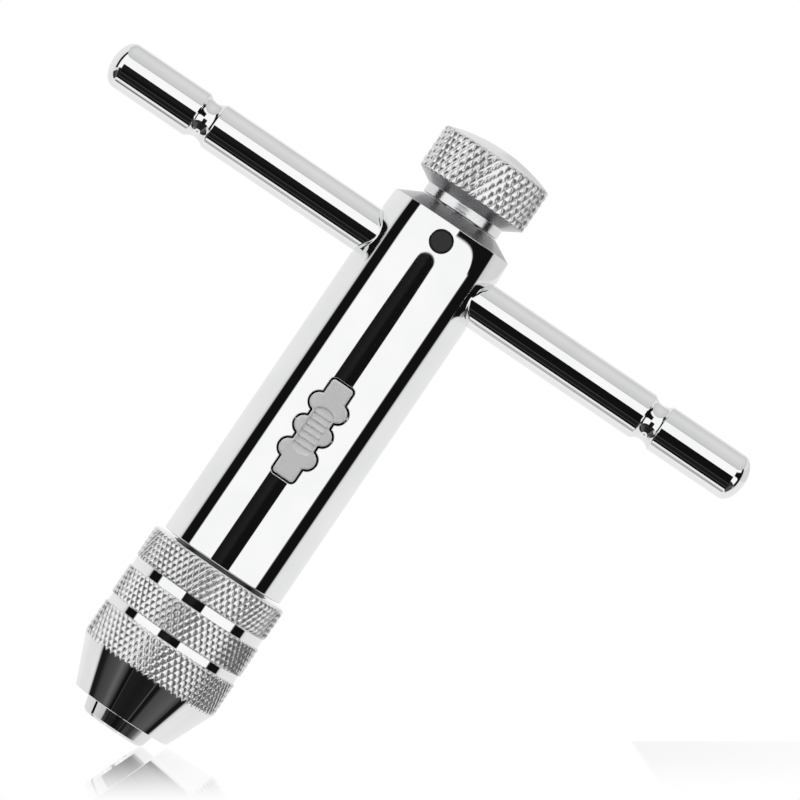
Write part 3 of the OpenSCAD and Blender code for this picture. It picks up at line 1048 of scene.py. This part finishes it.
def build_world():
    """A pale studio with dark strips, as polished metal is photographed in. Angles are in degrees."""
    world = bpy.data.worlds.new("studio")
    bpy.context.scene.world = world
    world.use_nodes = True
    tree = world.node_tree
    tree.nodes.clear()

    def new(kind):
        return tree.nodes.new(kind)

    def link(a, b):
        tree.links.new(a, b)

    def math_node(kind, a, b=None, c=None):
        node = new("ShaderNodeMath")
        node.operation = kind
        for socket, value in zip(node.inputs, (a, b, c)):
            if value is None:
                continue
            if isinstance(value, (int, float)):
                socket.default_value = value
            else:
                link(value, socket)
        return node.outputs["Value"]

    def ramp(value, low, high, stops):
        spread = new("ShaderNodeMapRange")
        spread.inputs["From Min"].default_value = low
        spread.inputs["From Max"].default_value = high
        link(value, spread.inputs["Value"])
        node = new("ShaderNodeValToRGB")
        elements = node.color_ramp.elements
        while len(elements) < len(stops):
            elements.new(0.5)
        for element, (place, shade) in zip(elements, stops):
            element.position = (place - low) / (high - low)
            element.color = (shade, shade, shade, 1)
        link(spread.outputs["Result"], node.inputs["Fac"])
        return node.outputs["Color"]

    def over(value, edge, soft):
        """0 below the edge and 1 above it."""
        node = new("ShaderNodeMapRange")
        node.interpolation_type = "SMOOTHSTEP"
        node.inputs["From Min"].default_value = edge - soft
        node.inputs["From Max"].default_value = edge + soft
        link(value, node.inputs["Value"])
        return node.outputs["Result"]

    def mix(fac, a, b):
        node = new("ShaderNodeMix")
        node.data_type = "RGBA"
        link(fac, node.inputs["Factor"])
        colour_sockets = [s for s in node.inputs if s.type == "RGBA"]
        for socket, value in zip(colour_sockets, (a, b)):
            if isinstance(value, (int, float)):
                socket.default_value = (value, value, value, 1)
            else:
                link(value, socket)
        return [s for s in node.outputs if s.type == "RGBA"][0]

    way = new("ShaderNodeTexCoord").outputs["Generated"]
    split = new("ShaderNodeSeparateXYZ")
    link(way, split.inputs["Vector"])
    forward = math_node("MULTIPLY", split.outputs["Y"], -1.0)
    side = math_node("DEGREES", math_node("ARCTAN2", split.outputs["X"], forward))
    rise = math_node("DEGREES", math_node("ARCSINE", split.outputs["Z"]))

    dark = 0.006
    # level band: what the barrel's wall shows
    bands = ramp(side, -180, 180, [
        (-180, 0.86), (-98, 0.82), (-92.2, 0.62), (-90.7, dark), (-70, dark), (-68.5, 1.0), (-67, 1.0),
        (70.5, 1.0), (72, dark), (94.5, dark), (96.5, 0.66), (101, 0.82), (180, 0.86)])
    strip = ramp(side, -30, 20, [(-30, 0.01), (-18, 0.01), (-6, 0.016), (0, dark), (20, dark)])
    bend = math_node("DIVIDE", math_node("ADD", side, 4.1), 17.8)
    left = math_node("SUBTRACT", 1.0, math_node("MULTIPLY", bend, bend))
    dome = math_node("MULTIPLY", math_node("SQRT", math_node("MAXIMUM", left, 0.0)), 2.3)
    in_strip = math_node("MULTIPLY", over(left, 0.0, 0.06),
                         math_node("SUBTRACT", 1.0, over(math_node("SUBTRACT", rise, dome), 0.0, 0.25)))
    level = mix(in_strip, bands, strip)
    # below: what the sleeve's cone and the bar's front show
    below = ramp(side, -180, 180, [
        (-180, 0.84), (-105, 0.80), (-102, 0.6), (-99, 0.01), (-88, 0.012), (-80, 0.05), (-60, 0.075),
        (-50, 0.13), (-40, 0.05), (-35, 0.006), (-29, 0.005), (-28, 0.06), (-27, 0.014), (-2, 0.012),
        (22, 0.014), (24, 0.10), (25.5, 0.006), (33, 0.008), (38, 0.06), (68, 0.10), (77, 0.05),
        (80, 0.006), (88, 0.01), (91, 0.66), (96, 0.82), (180, 0.86)])
    # a narrower dark panel between the two, which the jaws show
    nose = ramp(side, -180, 180, [
        (-180, 0.84), (-100, 0.78), (-52, 0.62), (-49, 0.02), (8, 0.022), (60, 0.03), (78, 0.12),
        (92, 0.42), (100, 0.8), (180, 0.86)])
    # above: as the level band, and to the right a soft box with a round top edge
    above_right = ramp(side, -180, 180, [
        (-180, 0.70), (12, 1.0), (16, dark), (94.5, dark), (96.5, 0.62), (110, 0.7), (180, 0.70)])
    reach = math_node("DIVIDE", math_node("ABSOLUTE", side), 71.0)
    rim_line = math_node("MULTIPLY", math_node(
        "SQRT", math_node("MAXIMUM", math_node("SUBTRACT", 1.0, math_node("POWER", reach, 4.0)), 0.0)), 7.9)
    past_rim = over(math_node("SUBTRACT", rise, rim_line), 0.0, 0.35)
    right_side = over(side, 14.5, 1.0)
    hood = math_node("MULTIPLY", past_rim, right_side)
    below_hood_top = math_node("SUBTRACT", 1.0, over(rise, 30.0, 3.0))
    hood = math_node("MULTIPLY", hood, below_hood_top)
    above = mix(hood, bands, above_right)
    low_part = ramp(rise, -90, 0, [
        (-90, 0.58), (-87, 0.62), (-86.2, 0.02), (-84.8, 0.02), (-84, 0.78), (-76, 0.80), (-74.4, 1.0),
        (-71.6, 1.0), (-71, 0.006), (-60, 0.006), (-57.8, 0.07), (-57, 0.07), (-55.5, 0.006),
        (-50, 0.011), (-39, 0.011), (-37.8, 0.07), (-37, 0.07), (-35.5, 0.006), (0, 0.006)])
    top_part = ramp(rise, 38, 90, [
        (38, 1.0), (41.5, 1.0), (42.3, 0.25), (43.5, 0.60), (60, 0.66), (90, 0.74)])

    # the bar lies across, so only the strip straight ahead shows its lines
    ahead = math_node("SUBTRACT", 1.0, over(math_node("ABSOLUTE", side), 9.0, 3.0))
    deep = math_node("SUBTRACT", 1.0, over(rise, -71.3, 0.3))
    lean = math_node("MULTIPLY", math_node("ABSOLUTE", side), 0.042)
    lower = mix(over(math_node("SUBTRACT", rise, lean), -34.2, 0.4), below, nose)
    lower = mix(ahead, lower, low_part)
    floor_light = ramp(rise, -90, -60, [
        (-90, 0.58), (-87, 0.62), (-86.2, 0.02), (-84.8, 0.02), (-84, 0.78), (-76, 0.80), (-74.4, 1.0),
        (-60, 1.0)])
    lower = mix(deep, lower, floor_light)
    body = mix(over(rise, -20.0, 1.0), lower, level)
    body = mix(over(rise, 2.6, 0.2), body, above)
    body = mix(over(rise, 41.6, 0.3), body, top_part)
    background = new("ShaderNodeBackground")
    link(body, background.inputs["Color"])
    background.inputs["Strength"].default_value = 1.0
    plain = new("ShaderNodeBackground")
    plain.inputs["Color"].default_value = (1, 1, 1, 1)
    rays = new("ShaderNodeLightPath")
    both = new("ShaderNodeMixShader")
    link(rays.outputs["Is Camera Ray"], both.inputs["Fac"])
    link(background.outputs["Background"], both.inputs[1])
    link(plain.outputs["Background"], both.inputs[2])
    out = new("ShaderNodeOutputWorld")
    link(both.outputs["Shader"], out.inputs["Surface"])


def build_camera():
    right = Vector((math.cos(TILT), 0, math.sin(TILT)))
    up = Vector((-math.sin(TILT), 0, math.cos(TILT)))
    back = Vector((0, -1, 0))
    camera = bpy.data.objects.new("camera", bpy.data.cameras.new("camera"))
    bpy.context.scene.collection.objects.link(camera)
    turn = Matrix((right, up, back)).transposed().to_4x4()
    camera.matrix_world = Matrix.Translation((0.00652, -0.828, 0.05205)) @ turn
    camera.data.sensor_width = 36
    camera.data.lens = 310
    camera.data.clip_start = 0.01
    camera.data.clip_end = 20
    bpy.context.scene.camera = camera


def build_floor():
    """A pale, slightly glossy table top under the tilted tool. It lies level in the camera's picture."""
    up = Vector((-math.sin(TILT), 0, math.cos(TILT)))
    along = Vector((math.cos(TILT), 0, math.sin(TILT)))
    # the lowest point of the jaws' rim, seen along the tilted level
    low = Vector((3.9 * MM, 0, 0))
    centre = low - up * 0.00002
    half_x = 0.6
    near = -0.6
    far = 0.9
    corners = []
    for a, b in ((-half_x, near), (half_x, near), (half_x, far), (-half_x, far)):
        corners.append(tuple(centre + along * a + Vector((0, b, 0))))
    mesh = bpy.data.meshes.new("table_top")
    mesh.from_pydata(corners, [], [(0, 1, 2, 3)])
    floor = bpy.data.objects.new("table_top", mesh)
    bpy.context.scene.collection.objects.link(floor)
    floor.visible_glossy = False
    floor.visible_diffuse = False
    floor.visible_transmission = False
    floor.visible_shadow = False
    mat = bpy.data.materials.new("table_top")
    mat.use_nodes = True
    tree = mat.node_tree
    tree.nodes.clear()
    glow = tree.nodes.new("ShaderNodeEmission")
    glow.inputs["Color"].default_value = (1, 1, 1, 1)
    shine = tree.nodes.new("ShaderNodeBsdfGlossy")
    shine.inputs["Roughness"].default_value = 0.01
    shine.inputs["Color"].default_value = (1.16, 1.16, 1.16, 1)
    place = tree.nodes.new("ShaderNodeNewGeometry")
    split = tree.nodes.new("ShaderNodeSeparateXYZ")
    tree.links.new(place.outputs["Position"], split.inputs["Vector"])
    fade = tree.nodes.new("ShaderNodeMapRange")
    fade.interpolation_type = "SMOOTHSTEP"
    fade.inputs["From Min"].default_value = 0.0
    fade.inputs["From Max"].default_value = 0.125
    fade.inputs["To Min"].default_value = 0.85
    fade.inputs["To Max"].default_value = 0.0
    distance = tree.nodes.new("ShaderNodeVectorMath")
    distance.operation = "LENGTH"
    tree.links.new(place.outputs["Position"], distance.inputs[0])
    tree.links.new(distance.outputs["Value"], fade.inputs["Value"])
    behind = tree.nodes.new("ShaderNodeMath")
    behind.operation = "LESS_THAN"
    behind.inputs[1].default_value = 0.012
    tree.links.new(split.outputs["Y"], behind.inputs[0])
    share = tree.nodes.new("ShaderNodeMath")
    share.operation = "MULTIPLY"
    tree.links.new(fade.outputs["Result"], share.inputs[0])
    tree.links.new(behind.outputs["Value"], share.inputs[1])
    mixed = tree.nodes.new("ShaderNodeMixShader")
    tree.links.new(share.outputs["Value"], mixed.inputs["Fac"])
    tree.links.new(glow.outputs["Emission"], mixed.inputs[1])
    tree.links.new(shine.outputs["BSDF"], mixed.inputs[2])
    clear = tree.nodes.new("ShaderNodeBsdfTransparent")
    sides = tree.nodes.new("ShaderNodeMixShader")
    tree.links.new(place.outputs["Backfacing"], sides.inputs["Fac"])
    tree.links.new(mixed.outputs["Shader"], sides.inputs[1])
    tree.links.new(clear.outputs["BSDF"], sides.inputs[2])
    out = tree.nodes.new("ShaderNodeOutputMaterial")
    tree.links.new(sides.outputs["Shader"], out.inputs["Surface"])
    mesh.materials.append(mat)


build_world()
build_camera()
build_floor()
bpy.context.scene.view_settings.view_transform = "Standard"

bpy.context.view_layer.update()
